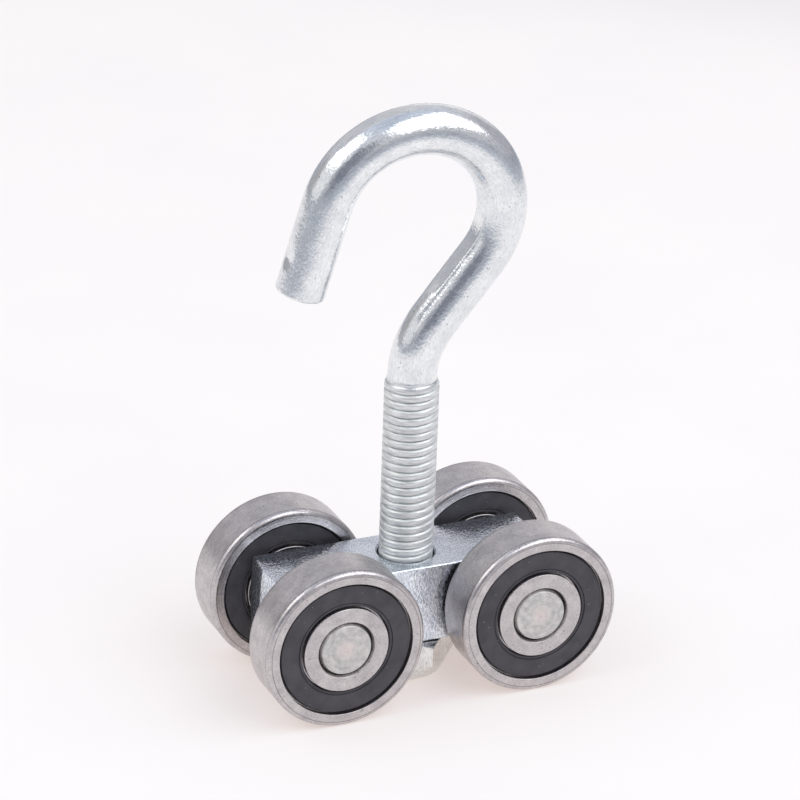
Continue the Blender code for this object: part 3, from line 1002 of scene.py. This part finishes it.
# Each ring is (radius, height, share of the hexagon's corner, drop for the chamfer)
nut_rings = [
    (nut_bore, nut_low.z, 0, 0),
    (nut_bore, nut_high.z - 0.5 * MM, 0, 0),
    (nut_bore + 0.5 * MM, nut_high.z, 0, 0),
    (nut_flat - 0.1 * MM, nut_high.z, 0, 0),
    (nut_flat, nut_high.z, 1, -1),
    (nut_flat, nut_hexagon_bottom + 0.9 * MM, 1, 0.8),
    (nut_flat - 0.05 * MM, nut_hexagon_bottom + 0.35 * MM, 0.6, 0.5),
    (nut_flat - 0.2 * MM, nut_hexagon_bottom - 0.2 * MM, 0.2, 0.2),
    (nut_flat - 0.45 * MM, nut_hexagon_bottom - 0.75 * MM, 0, 0),
    (nut_flat - 0.8 * MM, nut_low.z + 0.55 * MM, 0, 0),
    (nut_flat - 1.3 * MM, nut_low.z + 0.12 * MM, 0, 0),
    (nut_flat - 1.9 * MM, nut_low.z, 0, 0),
    (nut_bore + 0.15 * MM, nut_low.z + 0.02 * MM, 0, 0),
]
for number, (reach, height, corner_share, drop) in enumerate(nut_rings):
    if number:
        made = bmesh.ops.extrude_edge_only(nut, edges=rim)["geom"]
        rim = [part for part in made if isinstance(part, bmesh.types.BMEdge)]
    for vert in {vert for edge in rim for vert in edge.verts}:
        angle = math.atan2(vert.co.y, vert.co.x)
        corner = hexagon_radius(angle) - nut_flat
        out = reach + corner * corner_share
        fall = drop * corner * chamfer_slope
        vert.co = (out * math.cos(angle), out * math.sin(angle), height + fall)

# Bright zinc over a cold-forged nut: smoother and less blue than on the body.
nut_zinc, _, _ = zinc_plating(
    "zinc_plated_nut",
    "#ECECEA",
    "#D8DAD9",
    shine=(0.2, 0.3),
    speckle=(0.9, 1.06),
    grain_height=0.012,
)
lock_nut = add_piece("nut_shell", nut, nut_zinc, sharp_from=28)
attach(lock_nut, "hook")
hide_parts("lock_nut")

# The ring that grips the thread: natural nylon, milky and slightly glossy.
nylon, tree, shader = start_material("natural_nylon", roughness=0.4, metallic=0.0)
shader.inputs["Subsurface Weight"].default_value = 0.25
shader.inputs["Subsurface Scale"].default_value = 1 * MM
place = add_node(tree, "TexCoord").outputs["Object"]
mottle = add_node(tree, "TexNoise", {"Vector": place, "Scale": 1 / (1.2 * MM), "Detail": 3.0})
tone = add_node(tree, "ValToRGB", {"Fac": mottle}, stops=[(0.3, "#DEDCD2"), (0.7, "#EEEDE6")])
tree.links.new(tone.outputs[0], shader.inputs["Base Color"])
bump = add_node(tree, "Bump", {"Height": mottle, "Distance": 0.02 * MM, "Strength": 1.0})
tree.links.new(bump.outputs[0], shader.inputs["Normal"])
insert_low, insert_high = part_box("nut_insert")
insert_bore = 4.85 * MM
insert_radius = 6.1 * MM
collar = turned(
    [
        (insert_bore, insert_low.z, 0.15 * MM),
        (insert_radius, insert_low.z, 0.1 * MM),
        (insert_radius, insert_high.z, 0),
        (insert_bore, insert_high.z, 0.15 * MM),
    ],
    steps=BORE_SIDES,
)
bmesh.ops.rotate(
    collar, cent=(0, 0, 0), matrix=Matrix.Rotation(math.pi / 2, 3, "X"), verts=collar.verts
)
insert = add_piece("nut_nylon_ring", collar, nylon)
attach(insert, "hook")
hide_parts("nut_insert")


# ---------------------------------------------------------------------------------------------
# Studio: a pale table under two big softboxes, one high on the left and one high on the right, in
# front. Far out the table's colour is painted darker as shade, and the table glows as painted fill
# light. The room behind the camera is darker, and draws the grey band along the rod.
# ---------------------------------------------------------------------------------------------
table = bmesh.new()
bmesh.ops.create_grid(table, x_segments=1, y_segments=1, size=4.0)
table_top, tree, shader = start_material("matt_white_table", roughness=0.9, metallic=0.0)
place = add_node(tree, "TexCoord").outputs["Object"]
# The painted shade starts farther out towards the table's far left corner.
lit_middle = (0.04, 0.1, 0)
lit_radius = 0.22
shaded_radius = 0.52
left_corner = Vector((-0.75, 0.66, 0))
reach = add_node(tree, "VectorMath", {0: place, 1: left_corner}, operation="DOT_PRODUCT")
reach = add_node(tree, "Math", {0: reach.outputs["Value"], 1: 0.0}, operation="MAXIMUM")
beyond = add_node(tree, "VectorMath", {0: left_corner, "Scale": reach}, operation="SCALE")
drawn_in = add_node(
    tree, "VectorMath", {0: beyond, 1: (-0.6, -0.6, 0), 2: place}, operation="MULTIPLY_ADD"
)
from_middle = add_node(tree, "VectorMath", {0: drawn_in, 1: lit_middle}, operation="DISTANCE")
shaded = add_node(
    tree,
    "MapRange",
    {"Value": from_middle.outputs["Value"], "From Min": lit_radius, "From Max": shaded_radius},
    interpolation_type="SMOOTHSTEP",
)
# Its paper skin is matt, a cool white, with a faint cloudiness.
fibres = add_node(tree, "TexNoise", {"Vector": place, "Scale": 1 / (40 * MM), "Detail": 3.0})
paper = add_node(tree, "ValToRGB", {"Fac": fibres}, stops=[(0.3, "#A7B2B7"), (0.7, "#ABB5B9")])
# Painted shade: far out the paper turns a darker grey.
colour = add_node(
    tree, "Mix", {"Factor": shaded, "A": paper, "B": linear("#7E8690")}, data_type="RGBA"
)
tree.links.new(colour.outputs[2], shader.inputs["Base Color"])
# The table glows warm as painted fill light, less so far out, so the shadows stay pale and warm.
painted_fill_glow = add_node(
    tree,
    "Mix",
    {"Factor": shaded, "A": linear("#C3B4AD"), "B": linear("#7C7878")},
    data_type="RGBA",
)
tree.links.new(painted_fill_glow.outputs[2], shader.inputs["Emission Color"])
shader.inputs["Emission Strength"].default_value = 1.0
floor = add_piece("studio_table", table, table_top, even_shading=False)

camera_azimuth = math.radians(-24.911)
camera_elevation = math.radians(24.279)
camera_roll = math.radians(2.045)
camera_distance = 720.495 * MM
camera_aim = (-1.985 * MM, 34.178 * MM)


def direction_at(azimuth, elevation):
    """The direction that is azimuth degrees clockwise from +Y, seen from above, and so high."""
    azimuth, elevation = math.radians(azimuth), math.radians(elevation)
    level = math.cos(elevation)
    return Vector((math.sin(azimuth) * level, math.cos(azimuth) * level, math.sin(elevation)))


forward = -direction_at(180 - math.degrees(camera_azimuth), math.degrees(camera_elevation))
right = Vector((math.cos(camera_azimuth), math.sin(camera_azimuth), 0))
up = right.cross(forward)
aim = Vector((0, 0, axle_middle.z)) + right * camera_aim[0] + up * camera_aim[1]
rolled_right = right * math.cos(camera_roll) + up * math.sin(camera_roll)
rolled_up = up * math.cos(camera_roll) - right * math.sin(camera_roll)
lens = bpy.data.cameras.new("camera")
lens.lens = 180.28
lens.sensor_width = 36
lens.clip_start = 0.01
camera = bpy.data.objects.new("camera", lens)
bpy.context.scene.collection.objects.link(camera)
turned_to_aim = Matrix((rolled_right, rolled_up, -forward)).transposed().to_4x4()
camera.matrix_world = Matrix.Translation(aim - forward * camera_distance) @ turned_to_aim
bpy.context.scene.camera = camera

world = bpy.data.worlds.new("studio")
bpy.context.scene.world = world
world.use_nodes = True
tree = world.node_tree
sky = tree.nodes["Background"]
looking = add_node(tree, "TexCoord").outputs["Generated"]
height = add_node(tree, "SeparateXYZ", {"Vector": looking}).outputs["Z"]
room_light = add_node(
    tree,
    "ValToRGB",
    {"Fac": height},
    stops=[(0.0, "#B4B6BE"), (0.2, "#C8C8CD"), (0.6, "#D8D8DE"), (0.9, "#CDD4E2")],
)
# Each patch of the room is (azimuth, elevation, degrees to full strength, and to its edge, colour)
for azimuth, elevation, inner, outer, tint in (
    (-146, 14, 13, 28, "#868A96"),
    (80, 12, 12, 30, "#B6B4BC"),
    (-40, 8, 8, 20, "#B4B3B5"),
    (-85, 16, 18, 28, "#F0F0F2"),
    (32, 4, 8, 22, "#FFFEFF"),
):
    nearness = add_node(
        tree,
        "VectorMath",
        {0: looking, 1: direction_at(azimuth, elevation)},
        operation="DOT_PRODUCT",
    ).outputs["Value"]
    share = add_node(
        tree,
        "MapRange",
        {
            "Value": nearness,
            "From Min": math.cos(math.radians(outer)),
            "From Max": math.cos(math.radians(inner)),
        },
        interpolation_type="SMOOTHSTEP",
    )
    room_light = add_node(
        tree, "Mix", {"Factor": share, "A": room_light, "B": linear(tint)}, data_type="RGBA"
    ).outputs[2]
tree.links.new(room_light, sky.inputs["Color"])
sky.inputs["Strength"].default_value = 1.0


softbox_distance = 1.2
mid_hook = Vector((0, 0, 60 * MM))


def add_softbox(name, azimuth, elevation, width, height, radiance, tint):
    """A softbox that faces the middle of the hook, and is so bright to look at."""
    light = bpy.data.lights.new(name, "AREA")
    light.shape = "RECTANGLE"
    light.size = width
    light.size_y = height
    light.energy = radiance * math.pi * width * height
    light.color = linear(tint)[:3]
    softbox = bpy.data.objects.new(name, light)
    towards = -direction_at(azimuth, elevation)
    softbox.location = mid_hook - towards * softbox_distance
    softbox.rotation_euler = towards.to_track_quat("-Z", "Y").to_euler()
    bpy.context.scene.collection.objects.link(softbox)


add_softbox("softbox_left", -85, 45, 1.1, 0.65, 1.7, "#FFFEFA")
add_softbox("softbox_right", 140, 49, 1.5, 1.0, 1.75, "#FDFEFF")
bpy.context.scene.view_settings.view_transform = "Standard"
